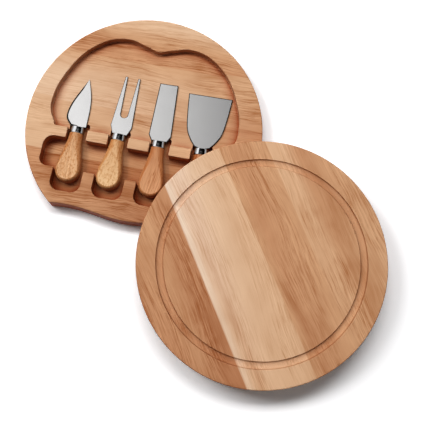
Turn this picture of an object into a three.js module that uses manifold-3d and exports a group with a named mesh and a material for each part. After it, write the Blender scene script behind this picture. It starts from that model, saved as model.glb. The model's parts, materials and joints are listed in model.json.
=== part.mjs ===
// A round cheese board set: a base that holds four tools, and a serving top that swings over it
// on a hidden pivot.
// Millimetres, +Z up. The origin is the middle of the base's underside, +X runs along the base's grain,
// and +Y is where the blades point. The top is drawn swung open, as it stands in use.

import * as THREE from "three";
import { mergeVertices } from "three/addons/utils/BufferGeometryUtils.js";
import Module from "manifold-3d";

const wasm = await Module();
wasm.setup();

// Boards
const baseThickness = 20;
const topThickness = 15;
const runningGap = 0.6; // between the base's face and the underside of the top
const boardRound = 1.5; // round on the boards' outer edges
const seatGap = 0.3; // between a piece and what it rests on or sits in

// Juice groove in the top
const grooveInset = 24.8; // from the top's rim to the middle of the groove
const grooveHalfWidth = 3.7;
const grooveDepth = 2.8;

// Swing of the top about its pivot
const pivotInset = 18.5; // from the rim of either board
const pivotAngle = THREE.MathUtils.degToRad(-10.6);
const openAngle = THREE.MathUtils.degToRad(122.6);

// Wave cut that parts the foot from the base's circle
const waveInset = 27.8; // from the circle's rim to the middle of the wave
const waveHeight = 3.4;
const waveLength = 130;
const sawKerf = 1.6;

// Tools, common sizes
const bladeThickness = 1.5;
const bladeEdge = 0.8; // width of the ground edge
const bladeEdgeHeight = 0.35;
const tangWidth = 6;
const tangLength = 34;
const ferruleLength = 7.5;
const ferruleWidth = 16;
const ferruleHeight = 12.4;
const ferruleRound = 5.4;
const ferruleWall = 1;
const handleLength = 56;
const handleHalfWidth = 13.5;
const handleThickness = 13;
const handleSideRound = 1.6; // how far the rounded side stands out from the flat of the handle
const handleSideHeight = 5;
const handleSink = 0.4; // the handles lie this far under the base's face
const neckShare = 0.4; // how far the neck's curve holds the neck's width, as a share of the swell
const bellyShare = 0.36; // the same for the belly's width

// The pointed knife's blade: a long belly on one side and a nearly straight back on the other.
const pointedKnife = {
  bladeLength: 57.4,
  bladeHalfWidth: 15.7,
  leftShares: [
    [-0.56, 0.01],
    [-0.92, 0.13],
    [-1, 0.263],
    [-0.84, 0.474],
    [-0.45, 0.737],
    [0, 1],
  ],
  rightShares: [
    [0, 1],
    [0.38, 0.7],
    [0.54, 0.42],
    [0.57, 0.01],
  ],
};

// The flat knife's blade: a long wedge, a little wider at the ferrule.
const flatKnife = {
  bladeLength: 68,
  bladeHalfWidth: 12.5,
  shoulder: 7,
  tipHalfWidth: 10.3,
  neckHalfWidth: 8.6,
};

// The fork's blade: two tapering tines with a round-bottomed slot between them.
const fork = {
  bladeLength: 68.5,
  bladeHalfWidth: 11.9,
  shoulder: 9.5,
  neckHalfWidth: 8.2,
  tipHalfWidth: 8.4,
  slotHalfWidth: 4.05,
  slotTipHalfWidth: 6,
  slotBottom: 20.1,
};

// The spatula's blade: a broad straight tip and sides that draw in to the ferrule in one curve.
const spatula = {
  bladeLength: 62.5,
  bladeHalfWidth: 24.7,
  sideShares: [
    [0.35, 0.03],
    [0.6, 0.16],
    [0.806, 0.336],
    [0.923, 0.64],
    [1, 1],
  ],
};

// Places for the tools in the base
const layoutShift = -2; // the row lies a little away from the pivot
const toolCount = 4;
const ferruleFront = -10; // where the blades meet the ferrules
const ridgeSetback = 3.5; // from the ferrules' front to the blade recess
const ridgeWidth = 12; // wood left standing between the blade recess and the trough
const troughHeight = 34.9;
const fingerRoom = 17.1; // the trough runs past the outer pockets by this much
const ribRound = 1;
const notchSideRoom = 3.2;
const notchFrontRoom = 5.6;
const notchRound = 3;
const pocketSideRoom = 3.1;
const pocketEndRoom = 11.5;
const pocketRound = 10;
const ribWidth = 12.7; // wood left standing between two pockets

// Blade recess
const recessSideRoom = 10.95; // beside the widest blade
const recessTipRoom = 42.1; // from the longest blade to the top of the recess's two lobes
const recessSideWall = 25.5; // wood left standing between the recess and the board's rim
const recessCornerRound = 4;
const recessWallShares = [
  [-0.925, -0.095],
  [-0.985, 0.02],
  [-1, 0.15],
  [-0.962, 0.378],
  [-0.804, 0.716],
  [-0.574, 0.934],
  [-0.344, 1],
  [-0.144, 0.954],
];
const recessDipShare = 0.91; // the wave between the lobes, as a share of the reach

// Pivot hardware
const shankRadius = 3;
const shankPlay = 0.08;
const screwHeadRadius = 5.2;
const screwHeadHeight = 3.6;
const socketRadius = 2.3;
const socketDepth = 2.2;
const socketSides = 6;
const headWasherRadius = 7;
const headWasherThickness = 1.2;
const counterboreRadius = 7.6;
const counterboreDepth = 8;
const glideWasherRadius = 9;
const glideSeatDepth = 1;
const washerPlay = 0.1;
const insertRadius = 4.4;
const insertLength = 8.3;
const insertGroove = 0.5;
const insertBands = 7; // plain bands and grooves in turn
const insertPlay = 0.1;

// Dowels that hold the foot to the top
const dowelRadius = 4;
const dowelSpread = 90; // between the two dowels
const dowelInset = 18.2; // from the top's rim
const dowelInFoot = 12;
const dowelInTop = 9;

// Smoothness of round shapes
const boardSteps = 96;
const smallSteps = 24;
const roundSteps = 3;
const curveSteps = 5;
const handleSteps = 9;
const bladeSteps = 3; // few enough that a ground edge fits at the pointed tip
const waveSteps = 28;
const overrun = 1; // cutters run past the faces they cut

// Places worked out from the sizes
const blades = [pointedKnife, fork, flatKnife, spatula];
const widestBlade = Math.max(...blades.map((blade) => blade.bladeHalfWidth));
const longestBlade = Math.max(...blades.map((blade) => blade.bladeLength));
const pocketHalfWidth = handleHalfWidth + pocketSideRoom;
const toolPitch = 2 * pocketHalfWidth + ribWidth;
const rowHalfWidth = (toolPitch * (toolCount - 1)) / 2;
const recessHalfWidth = rowHalfWidth + widestBlade + recessSideRoom;
const recessReach = ferruleFront + longestBlade + recessTipRoom;
const boardRadius = recessHalfWidth + recessSideWall;
const grooveRadius = boardRadius - grooveInset;
const pivotRadius = boardRadius - pivotInset;
const waveDistance = boardRadius - waveInset;
const dowelDistance = boardRadius - dowelInset;
const toolAxisHeight = baseThickness - handleSink - handleThickness / 2;
const recessFloor = toolAxisHeight - bladeThickness / 2 - seatGap;
const troughFloor = toolAxisHeight - handleThickness / 2 - seatGap;
const topUnderside = baseThickness + runningGap;
const topFace = topUnderside + topThickness;
const pivotX = pivotRadius * Math.cos(pivotAngle);
const pivotY = pivotRadius * Math.sin(pivotAngle);
const ferruleBack = ferruleFront - ferruleLength;
const buttEnd = ferruleBack - seatGap - handleLength;
const recessLower = ferruleFront - ridgeSetback;
const troughUpper = recessLower - ridgeWidth;
const troughLower = troughUpper - troughHeight;
const pocketEnd = buttEnd - pocketEndRoom;
const notchEnd = ferruleFront + notchFrontRoom;
const notchHalfWidth = ferruleWidth / 2 + notchSideRoom;
const stationX = (index) => layoutShift + index * toolPitch - rowHalfWidth;

// Materials
const finish = (color, roughness, metalness) =>
  new THREE.MeshStandardMaterial({ color, roughness, metalness });
const baseWood = finish(0xd2a27a, 0.55, 0);
const topWood = finish(0xcb9a70, 0.5, 0);
const paleHandleWood = finish(0xdcb482, 0.5, 0);
const redHandleWood = finish(0xbc8255, 0.5, 0);
const dowelWood = finish(0xd8b78c, 0.7, 0);
const satinSteel = finish(0xc8c6c6, 0.35, 1);
const brightChrome = finish(0xd8d8da, 0.08, 1);
const zincSteel = finish(0x9c9ea2, 0.4, 1);
const brass = finish(0xc9a553, 0.35, 1);
const nylon = finish(0xe8e6df, 0.6, 0);

// A closed three.js geometry as a solid that can be cut and joined.
function solidOf(geometry) {
  const bare = geometry.clone();
  bare.deleteAttribute("normal");
  bare.deleteAttribute("uv");
  const merged = mergeVertices(bare);
  const corners = merged.index.array;
  const kept = [];
  for (let i = 0; i < corners.length; i += 3) {
    const [a, b, c] = corners.subarray(i, i + 3);
    if (a !== b && b !== c && c !== a) kept.push(a, b, c);
  }
  return new wasm.Manifold(
    new wasm.Mesh({
      numProp: 3,
      vertProperties: merged.attributes.position.array,
      triVerts: new Uint32Array(kept),
    }),
  );
}

// A solid as a named mesh with its own material.
function pieceOf(name, solid, material) {
  const made = solid.getMesh();
  const geometry = new THREE.BufferGeometry();
  geometry.setAttribute("position", new THREE.BufferAttribute(made.vertProperties, 3));
  geometry.setIndex(new THREE.BufferAttribute(made.triVerts, 1));
  geometry.computeVertexNormals();
  const mesh = new THREE.Mesh(geometry, material);
  mesh.name = name;
  return mesh;
}

// Edges that are rounded or ground: how far in, how far down and in how many steps.
const noEdge = { across: 0, up: 0, steps: 1 };
const boardEdge = { across: boardRound, up: boardRound, steps: roundSteps };
const groundEdge = { across: bladeEdge, up: bladeEdgeHeight, steps: 1 };
const handleEdge = { across: handleSideRound, up: handleSideHeight, steps: roundSteps };

// An outline given a thickness, from z = 0 up, with its edges worked inwards.
function slab(outline, thickness, edge = noEdge, steps = curveSteps) {
  const geometry = new THREE.ExtrudeGeometry(outline, {
    depth: thickness - 2 * edge.up,
    bevelEnabled: edge.across > 0,
    bevelSize: edge.across,
    bevelOffset: -edge.across,
    bevelThickness: edge.up,
    bevelSegments: edge.steps,
    curveSegments: steps,
  });
  return geometry.translate(0, 0, edge.up);
}

// A profile of radii and heights turned about the Z axis.
function turned(profile, steps) {
  const points = profile.map(([radius, height]) => new THREE.Vector2(radius, height));
  return new THREE.LatheGeometry(points, steps).rotateX(Math.PI / 2);
}

// A closed ring of rectangular section.
function ring(innerRadius, outerRadius, low, high) {
  return turned(
    [
      [innerRadius, low],
      [outerRadius, low],
      [outerRadius, high],
      [innerRadius, high],
      [innerRadius, low],
    ],
    smallSteps,
  );
}

// A round bar between two heights, standing at x, y.
function bar(x, y, radius, low, high) {
  const cylinder = new THREE.CylinderGeometry(radius, radius, high - low, smallSteps);
  return cylinder.rotateX(Math.PI / 2).translate(x, y, (low + high) / 2);
}

// An outline through corners of x, y and radius, each corner rounded as far as its sides allow.
function roundedOutline(corners) {
  const outline = new THREE.Shape();
  corners.forEach(([x, y, radius], index) => {
    const corner = new THREE.Vector2(x, y);
    const [beforeX, beforeY] = corners.at(index - 1);
    const [afterX, afterY] = corners[(index + 1) % corners.length];
    const towardsBefore = new THREE.Vector2(beforeX, beforeY).sub(corner);
    const towardsAfter = new THREE.Vector2(afterX, afterY).sub(corner);
    const reach = Math.min(radius, towardsBefore.length() / 2, towardsAfter.length() / 2);
    const start = towardsBefore.setLength(reach).add(corner);
    const end = towardsAfter.setLength(reach).add(corner);
    const middle = start.clone().add(end).sub(corner);
    const from = Math.atan2(start.y - middle.y, start.x - middle.x);
    const to = Math.atan2(end.y - middle.y, end.x - middle.x);
    const clockwise = start.clone().sub(corner).cross(end.clone().sub(corner)) > 0;
    outline.absarc(middle.x, middle.y, reach, from, to, clockwise);
  });
  return outline;
}

// The height of the wave line at x, as a y value.
const waveY = (x) => -waveDistance - waveHeight * Math.cos((2 * Math.PI * x) / waveLength);

// The x where a line of the wave's shape, moved down by drop, meets the boards' circle.
function waveEnd(drop) {
  let inside = 0;
  let outside = boardRadius;
  for (let step = 0; step < boardSteps; step += 1) {
    const x = (inside + outside) / 2;
    if (Math.hypot(x, waveY(x) - drop) < boardRadius) inside = x;
    else outside = x;
  }
  return inside;
}

// The wave line from left to right, moved down by drop.
function waveLine(drop) {
  const end = waveEnd(drop);
  const points = [];
  for (let step = 0; step <= waveSteps; step += 1) {
    const x = end * ((2 * step) / waveSteps - 1);
    points.push(new THREE.Vector2(x, waveY(x) - drop));
  }
  return points;
}

// The boards' circle from one point round to another, counterclockwise, without its two ends.
function rimLine(from, to) {
  const first = Math.atan2(from.y, from.x);
  const turn = (Math.atan2(to.y, to.x) - first + 2 * Math.PI) % (2 * Math.PI);
  const count = Math.round((boardSteps * turn) / (2 * Math.PI));
  const points = [];
  for (let step = 1; step < count; step += 1) {
    const angle = first + (turn * step) / count;
    points.push(new THREE.Vector2(boardRadius * Math.cos(angle), boardRadius * Math.sin(angle)));
  }
  return points;
}

// The base's outline: the circle down to the wave, and along the wave.
function baseOutline() {
  const wave = waveLine(0);
  return new THREE.Shape([...wave, ...rimLine(wave.at(-1), wave[0])]);
}

// The foot's outline: the part of the circle below the wave, less the saw's cut.
function footOutline() {
  const wave = waveLine(sawKerf).reverse();
  return new THREE.Shape([...wave, ...rimLine(wave.at(-1), wave[0])]);
}

// The blade recess: a two-lobed outline with a straight lower edge along the ridge.
function recessOutline() {
  const place = ([across, up]) =>
    new THREE.Vector2(layoutShift + across * recessHalfWidth, up * recessReach);
  const left = recessWallShares.map(place);
  const right = recessWallShares.map(([across, up]) => place([-across, up])).reverse();
  const wall = [...left, place([0, recessDipShare]), ...right];
  const [start, end] = [wall[0], wall.at(-1)];
  const outline = new THREE.Shape();
  outline.moveTo(start.x, start.y);
  outline.splineThru(wall.slice(1));
  outline.quadraticCurveTo(end.x, recessLower, end.x - recessCornerRound, recessLower);
  outline.lineTo(start.x + recessCornerRound, recessLower);
  outline.quadraticCurveTo(start.x, recessLower, start.x, start.y);
  return outline;
}

// The deep cut: finger trough, a notch for each ferrule above it and a pocket for each handle below it.
function troughOutline() {
  const firstWall = stationX(0) - pocketHalfWidth;
  const lastWall = stationX(toolCount - 1) + pocketHalfWidth;
  const leftEnd = firstWall - fingerRoom;
  const rightEnd = lastWall + fingerRoom;
  const endRound = Math.min(fingerRoom - ribRound, troughHeight / 2);
  const corners = [[leftEnd, troughUpper, endRound]];
  for (let index = 0; index < toolCount; index += 1) {
    const left = stationX(index) - notchHalfWidth;
    const right = stationX(index) + notchHalfWidth;
    corners.push([left, troughUpper, ribRound], [left, notchEnd, notchRound]);
    corners.push([right, notchEnd, notchRound], [right, troughUpper, ribRound]);
  }
  corners.push([rightEnd, troughUpper, endRound], [rightEnd, troughLower, endRound]);
  for (let index = toolCount - 1; index >= 0; index -= 1) {
    const left = stationX(index) - pocketHalfWidth;
    const right = stationX(index) + pocketHalfWidth;
    corners.push([right, troughLower, ribRound], [right, pocketEnd, pocketRound]);
    corners.push([left, pocketEnd, pocketRound], [left, troughLower, ribRound]);
  }
  corners.push([leftEnd, troughLower, endRound]);
  return roundedOutline(corners);
}

// The base: the cut circle with its recesses, the pivot's bore and the counterbore under it.
function baseBoard() {
  const recessDepth = baseThickness - recessFloor + overrun;
  const troughDepth = baseThickness - troughFloor + overrun;
  const recess = solidOf(slab(recessOutline(), recessDepth).translate(0, 0, recessFloor));
  const trough = solidOf(slab(troughOutline(), troughDepth).translate(0, 0, troughFloor));
  const boreRadius = shankRadius + shankPlay;
  const bore = solidOf(bar(pivotX, pivotY, boreRadius, -overrun, baseThickness + overrun));
  const counterbore = solidOf(
    bar(pivotX, pivotY, counterboreRadius, -overrun, counterboreDepth),
  );
  return solidOf(slab(baseOutline(), baseThickness, boardEdge))
    .subtract(recess)
    .subtract(trough)
    .subtract(bore)
    .subtract(counterbore);
}

// The points of a quarter round from one angle to another about a centre, as radii and heights.
function arcPoints(centreRadius, centreHeight, across, up, from, to, steps) {
  const points = [];
  for (let step = 0; step <= steps; step += 1) {
    const angle = from + ((to - from) * step) / steps;
    points.push([centreRadius + across * Math.cos(angle), centreHeight + up * Math.sin(angle)]);
  }
  return points;
}

// The top: a turned disc with the juice groove, bored from below for the insert, the washer and the dowels.
function topBoard() {
  const innerRim = boardRadius - boardRound;
  const quarter = Math.PI / 2;
  const profile = [
    [0, topUnderside],
    ...arcPoints(innerRim, topUnderside + boardRound, boardRound, boardRound, -quarter, 0, roundSteps),
    ...arcPoints(innerRim, topFace - boardRound, boardRound, boardRound, 0, quarter, roundSteps),
    ...arcPoints(grooveRadius, topFace, grooveHalfWidth, grooveDepth, 0, -2 * quarter, 2 * roundSteps),
    [0, topFace],
  ];
  const seatRadius = glideWasherRadius + seatGap;
  const seatRoof = topUnderside + glideSeatDepth;
  const insertRoof = seatRoof + insertPlay + insertLength + seatGap;
  const holeLow = topUnderside - overrun;
  const dowelRoof = topUnderside + dowelInTop + seatGap;
  const holeRadius = insertRadius + insertPlay;
  let board = solidOf(turned(profile, boardSteps))
    .subtract(solidOf(bar(pivotX, pivotY, seatRadius, holeLow, seatRoof)))
    .subtract(solidOf(bar(pivotX, pivotY, holeRadius, holeLow, insertRoof)));
  for (const side of [-1, 1]) {
    const x = (side * dowelSpread) / 2;
    const hole = bar(x, -dowelDistance, dowelRadius + insertPlay, holeLow, dowelRoof);
    board = board.subtract(solidOf(hole));
  }
  return board;
}

// The foot: the piece parted from the base's circle, bored for its dowels. It carries the top's far side.
function supportFoot() {
  const height = topUnderside - seatGap;
  let foot = solidOf(slab(footOutline(), height, boardEdge));
  for (const side of [-1, 1]) {
    const x = (side * dowelSpread) / 2;
    const low = height - dowelInFoot - seatGap;
    const hole = bar(x, -dowelDistance, dowelRadius + insertPlay, low, height + overrun);
    foot = foot.subtract(solidOf(hole));
  }
  return foot;
}

// A glued dowel between the foot and the top.
function dowel(side) {
  const low = topUnderside - seatGap - dowelInFoot;
  const high = topUnderside + dowelInTop;
  return solidOf(bar((side * dowelSpread) / 2, -dowelDistance, dowelRadius, low, high));
}

// The swivel screw: a socket head under the base and a plain shank up into the top's insert.
function pivotScrew() {
  const bearing = counterboreDepth - 2 * washerPlay - headWasherThickness;
  const headLow = bearing - screwHeadHeight;
  const shankEnd = topUnderside + glideSeatDepth + insertPlay + insertLength - seatGap;
  const body = turned(
    [
      [0, headLow],
      [screwHeadRadius, headLow],
      [screwHeadRadius, bearing],
      [shankRadius, bearing],
      [shankRadius, shankEnd],
      [0, shankEnd],
    ],
    smallSteps,
  );
  const socketHeight = socketDepth + overrun;
  const socket = new THREE.CylinderGeometry(socketRadius, socketRadius, socketHeight, socketSides)
    .rotateX(Math.PI / 2)
    .translate(pivotX, pivotY, headLow + socketDepth - socketHeight / 2);
  return solidOf(body.translate(pivotX, pivotY, 0)).subtract(solidOf(socket));
}

// The flat washer between the screw's head and the roof of the counterbore.
function headWasher() {
  const high = counterboreDepth - washerPlay;
  const washer = ring(shankRadius + insertPlay, headWasherRadius, high - headWasherThickness, high);
  return solidOf(washer.translate(pivotX, pivotY, 0));
}

// The slippery washer that keeps the two boards apart, seated in the top.
function glideWasher() {
  const low = baseThickness + washerPlay;
  const high = topUnderside + glideSeatDepth - washerPlay;
  const washer = ring(shankRadius + insertPlay, glideWasherRadius, low, high);
  return solidOf(washer.translate(pivotX, pivotY, 0));
}

// The brass insert that the screw turns into: a sleeve with three grooves that grip the wood.
function threadedInsert() {
  const low = topUnderside + glideSeatDepth + insertPlay;
  const innerRadius = shankRadius + insertPlay;
  const band = insertLength / insertBands;
  const profile = [[innerRadius, low]];
  for (let index = 0; index < insertBands; index += 1) {
    const radius = index % 2 ? insertRadius - insertGroove : insertRadius;
    profile.push([radius, low + index * band], [radius, low + (index + 1) * band]);
  }
  profile.push([innerRadius, low + insertLength], [innerRadius, low]);
  return solidOf(turned(profile, smallSteps).translate(pivotX, pivotY, 0));
}

// A blade's outline starts and ends down at its tang, under the ferrule's front.
function bladeOutline(leftPoints, rightPoints, curved) {
  const half = tangWidth / 2;
  const outline = new THREE.Shape();
  outline.moveTo(-half, -tangLength);
  outline.lineTo(-half, seatGap);
  for (const side of [leftPoints, rightPoints]) {
    if (!outline.currentPoint.equals(side[0])) outline.lineTo(side[0].x, side[0].y);
    if (curved) outline.splineThru(side.slice(1));
    else side.slice(1).forEach((point) => outline.lineTo(point.x, point.y));
  }
  outline.lineTo(half, seatGap);
  outline.lineTo(half, -tangLength);
  return outline;
}

// Points from shares of a blade's half width and length, measured from its foot at the ferrule.
function bladePoints(blade, shares) {
  const length = blade.bladeLength - seatGap;
  return shares.map(
    ([across, along]) =>
      new THREE.Vector2(across * blade.bladeHalfWidth, seatGap + along * length),
  );
}

function pointedKnifeOutline() {
  const left = bladePoints(pointedKnife, pointedKnife.leftShares);
  const right = bladePoints(pointedKnife, pointedKnife.rightShares);
  return bladeOutline(left, right, true);
}

function spatulaOutline() {
  const right = bladePoints(spatula, spatula.sideShares).reverse();
  const left = right.map((point) => new THREE.Vector2(-point.x, point.y)).reverse();
  return bladeOutline(left, right, true);
}

function flatKnifeOutline() {
  const { bladeLength, bladeHalfWidth, shoulder, tipHalfWidth, neckHalfWidth } = flatKnife;
  const side = (sign) => [
    new THREE.Vector2(sign * neckHalfWidth, seatGap),
    new THREE.Vector2(sign * bladeHalfWidth, shoulder),
    new THREE.Vector2(sign * tipHalfWidth, bladeLength),
  ];
  return bladeOutline(side(-1), side(1).reverse(), false);
}

function forkOutline() {
  const side = (sign) => [
    new THREE.Vector2(sign * fork.neckHalfWidth, seatGap),
    new THREE.Vector2(sign * fork.bladeHalfWidth, fork.shoulder),
    new THREE.Vector2(sign * fork.tipHalfWidth, fork.bladeLength),
    new THREE.Vector2(sign * fork.slotTipHalfWidth, fork.bladeLength),
  ];
  const slotCentre = fork.slotBottom + fork.slotHalfWidth;
  const slotArc = [];
  for (let step = 0; step <= curveSteps; step += 1) {
    const angle = Math.PI * (1 + step / curveSteps);
    const x = fork.slotHalfWidth * Math.cos(angle);
    slotArc.push(new THREE.Vector2(x, slotCentre + fork.slotHalfWidth * Math.sin(angle)));
  }
  return bladeOutline([...side(-1), ...slotArc], side(1).reverse(), false);
}

// A rounded outline across the tool's axis, with its upright sides shortened by the round.
function sectionOutline(width, height, round) {
  const [x, y] = [width / 2, height / 2];
  return roundedOutline([
    [-x, -y, round],
    [x, -y, round],
    [x, y, round],
    [-x, y, round],
  ]);
}

// A section drawn out along the tool's axis, back from a place on it.
function drawnBack(outline, front, length) {
  return slab(outline, length).rotateX(Math.PI / 2).translate(0, front, 0);
}

// The blade with its tang.
function toolBlade(outline) {
  const blade = slab(outline, bladeThickness, groundEdge, bladeSteps);
  return solidOf(blade.translate(0, 0, -bladeThickness / 2));
}

// The bright sleeve at the neck: closed in front but for the tang's slot, open at the back.
function toolFerrule() {
  const innerWidth = ferruleWidth - 2 * ferruleWall;
  const innerHeight = ferruleHeight - 2 * ferruleWall;
  const outer = sectionOutline(ferruleWidth, ferruleHeight, ferruleRound);
  const inner = sectionOutline(innerWidth, innerHeight, ferruleRound - ferruleWall);
  const hollow = drawnBack(inner, -ferruleWall, ferruleLength);
  const slotWidth = tangWidth + 2 * seatGap;
  const slotHeight = bladeThickness + 2 * seatGap;
  const slot = new THREE.BoxGeometry(slotWidth, 2 * ferruleLength, slotHeight);
  return solidOf(drawnBack(outer, 0, ferruleLength))
    .subtract(solidOf(hollow))
    .subtract(solidOf(slot));
}

// The wooden handle: a drop with flat top and bottom and rounded sides, and a spigot inside the ferrule.
function toolHandle() {
  const shoulder = -ferruleLength - seatGap;
  const neck = ferruleWidth / 2 - seatGap;
  const centre = shoulder - handleLength + handleHalfWidth;
  const swell = shoulder - centre;
  const outline = new THREE.Shape();
  outline.moveTo(neck, shoulder);
  outline.lineTo(-neck, shoulder);
  outline.bezierCurveTo(
    -neck,
    shoulder - swell * neckShare,
    -handleHalfWidth,
    centre + swell * bellyShare,
    -handleHalfWidth,
    centre,
  );
  outline.absarc(0, centre, handleHalfWidth, Math.PI, 2 * Math.PI);
  outline.bezierCurveTo(
    handleHalfWidth,
    centre + swell * bellyShare,
    neck,
    shoulder - swell * neckShare,
    neck,
    shoulder,
  );
  const body = slab(outline, handleThickness, handleEdge, handleSteps);
  const inset = ferruleWall + seatGap;
  const spigotWidth = ferruleWidth - 2 * inset;
  const spigotHeight = ferruleHeight - 2 * inset;
  const spigotSection = sectionOutline(spigotWidth, spigotHeight, ferruleRound - inset);
  const spigotFront = -ferruleWall - seatGap;
  const spigot = drawnBack(spigotSection, spigotFront, ferruleLength + ferruleWall);
  const slotLength = tangLength + seatGap;
  const slot = new THREE.BoxGeometry(
    tangWidth + 2 * seatGap,
    slotLength,
    bladeThickness + 2 * seatGap,
  ).translate(0, -slotLength / 2, 0);
  return solidOf(body.translate(0, 0, -handleThickness / 2))
    .add(solidOf(spigot))
    .subtract(solidOf(slot));
}

// Each tool's place in the row: its station, how far it has slid sideways there and its slight turn.
const tools = [
  { name: "pointed_knife", outline: pointedKnifeOutline, slid: -1.6, turn: 0, wood: paleHandleWood },
  { name: "fork", outline: forkOutline, slid: -1.2, turn: -1.1, wood: paleHandleWood },
  { name: "flat_knife", outline: flatKnifeOutline, slid: -2.6, turn: 1.5, wood: redHandleWood },
  { name: "spatula", outline: spatulaOutline, slid: -0.8, turn: 1, wood: redHandleWood },
];

function toolGroup(tool, index) {
  const group = new THREE.Group();
  group.position.set(stationX(index) + tool.slid, ferruleFront, toolAxisHeight);
  group.rotation.z = THREE.MathUtils.degToRad(tool.turn);
  group.add(
    pieceOf(`${tool.name}_blade`, toolBlade(tool.outline()), satinSteel),
    pieceOf(`${tool.name}_ferrule`, toolFerrule(), brightChrome),
    pieceOf(`${tool.name}_handle`, toolHandle(), tool.wood),
  );
  return group;
}

// What stays on the table.
const base = new THREE.Group();
base.add(
  pieceOf("base_board", baseBoard(), baseWood),
  pieceOf("head_washer", headWasher(), zincSteel),
  ...tools.map(toolGroup),
);

// What swings: drawn closed over the base, then turned open about the pivot.
const swung = new THREE.Group();
swung.position.set(-pivotX, -pivotY, 0);
swung.add(
  pieceOf("top_board", topBoard(), topWood),
  pieceOf("support_foot", supportFoot(), baseWood),
  pieceOf("dowel_left", dowel(-1), dowelWood),
  pieceOf("dowel_right", dowel(1), dowelWood),
  pieceOf("pivot_screw", pivotScrew(), zincSteel),
  pieceOf("glide_washer", glideWasher(), nylon),
  pieceOf("threaded_insert", threadedInsert(), brass),
);
const swing = new THREE.Group();
swing.position.set(pivotX, pivotY, 0);
swing.rotation.z = openAngle;
swing.add(swung);

const set = new THREE.Group();
set.add(base, swing);

export default set;
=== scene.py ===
"""The looks of a round serving board set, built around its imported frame.

Two wooden boards, four cheese tools and the hidden swivel, in metres, +Z up.
Pieces that show get a fine mesh of their own, in the same place and size as the solid they stand for.
"""

import json
import math

import bmesh
import bpy
from mathutils import Matrix, Vector

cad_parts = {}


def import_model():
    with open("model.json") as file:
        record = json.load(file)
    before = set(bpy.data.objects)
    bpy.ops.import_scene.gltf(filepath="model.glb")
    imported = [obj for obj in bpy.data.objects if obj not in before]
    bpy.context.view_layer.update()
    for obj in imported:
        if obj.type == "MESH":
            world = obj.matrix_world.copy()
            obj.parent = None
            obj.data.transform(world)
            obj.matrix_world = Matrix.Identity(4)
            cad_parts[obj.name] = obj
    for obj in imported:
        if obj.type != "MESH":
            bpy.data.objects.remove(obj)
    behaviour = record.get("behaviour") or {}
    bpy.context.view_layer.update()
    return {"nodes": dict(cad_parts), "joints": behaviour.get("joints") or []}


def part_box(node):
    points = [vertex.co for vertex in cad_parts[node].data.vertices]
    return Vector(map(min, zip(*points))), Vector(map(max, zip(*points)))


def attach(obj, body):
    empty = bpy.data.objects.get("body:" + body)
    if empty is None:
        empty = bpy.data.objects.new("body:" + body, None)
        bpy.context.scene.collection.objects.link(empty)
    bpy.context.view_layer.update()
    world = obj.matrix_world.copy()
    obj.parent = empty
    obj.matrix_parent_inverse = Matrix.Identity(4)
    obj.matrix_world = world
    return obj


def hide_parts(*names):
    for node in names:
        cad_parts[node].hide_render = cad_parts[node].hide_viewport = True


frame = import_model()

# Units
MM = 0.001
QUARTER = math.pi / 2

# Sizes taken from the frame
_, BASE_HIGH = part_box("base_board")
TOP_LOW, TOP_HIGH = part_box("top_board")
_, FOOT_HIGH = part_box("support_foot")
SWIVEL = next(joint for joint in frame["joints"] if joint["name"] == "top_swivel")
PIVOT = Vector(SWIVEL["pos_m"])
OPEN_ANGLE = -math.radians(SWIVEL["range_deg"][0])
BOARD_RADIUS = (TOP_HIGH.x - TOP_LOW.x) / 2

# Boards
BOARD_ROUND = 1.5 * MM
RIM_ROUND = 0.7 * MM
FLOOR_ROUND = 0.9 * MM
GROOVE_RADIUS = 105.5 * MM
GROOVE_HALF_WIDTH = 4 * MM
GROOVE_DEPTH = 2.8 * MM
GROOVE_LIP = 0.35 * MM
LIP_OUT_SHARE = 0.1
LIP_DOWN_SHARE = 0.3
WAVE_DISTANCE = 102.2 * MM
WAVE_HEIGHT = 3.4 * MM
WAVE_LENGTH = 130 * MM
SAW_KERF = 1.6 * MM
TIP_REACH = 9 * MM
SEAT_GAP = 0.3 * MM
OVERRUN = 1 * MM

# The tools' row in the base
LAYOUT_SHIFT = -2 * MM
TOOL_PITCH = 45.9 * MM
TOOL_COUNT = 4
TROUGH_FLOOR = 6.3 * MM
RECESS_FLOOR = 12.05 * MM
FERRULE_FRONT = -10 * MM
RECESS_LOWER = FERRULE_FRONT - 3.5 * MM
TROUGH_UPPER = RECESS_LOWER - 12 * MM
TROUGH_LOWER = TROUGH_UPPER - 34.9 * MM
POCKET_END = -85.3 * MM
NOTCH_END = FERRULE_FRONT + 5.6 * MM
NOTCH_HALF_WIDTH = 11.2 * MM
POCKET_HALF_WIDTH = 16.6 * MM
FINGER_ROOM = 17.1 * MM
RIB_ROUND = 1 * MM
NOTCH_ROUND = 3 * MM
POCKET_ROUND = 10 * MM
RECESS_HALF_WIDTH = 104.5 * MM
RECESS_REACH = 100.6 * MM
RECESS_CORNER = 4 * MM
CORNER_PULL = 2 / 3
RECESS_DIP_SHARE = 0.91
RECESS_WALL_SHARES = [
    (-0.925, -0.095), (-0.985, 0.02), (-1, 0.15), (-0.962, 0.378), (-0.804, 0.716), (-0.574, 0.934),
    (-0.344, 1), (-0.144, 0.954),
]

# Pivot and dowel holes
BORE_RADIUS = 3.08 * MM
COUNTERBORE_RADIUS = 7.6 * MM
COUNTERBORE_DEPTH = 8 * MM
WASHER_SEAT_RADIUS = 9.3 * MM
WASHER_SEAT_DEPTH = 1 * MM
INSERT_HOLE_RADIUS = 4.5 * MM
INSERT_HOLE_DEPTH = 9.7 * MM
DOWEL_RADIUS = 4.1 * MM
DOWEL_PLACES = [Vector((x, -111.8 * MM)) for x in (-45 * MM, 45 * MM)]
DOWEL_IN_FOOT = 12.3 * MM
DOWEL_IN_TOP = 9.3 * MM

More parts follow.
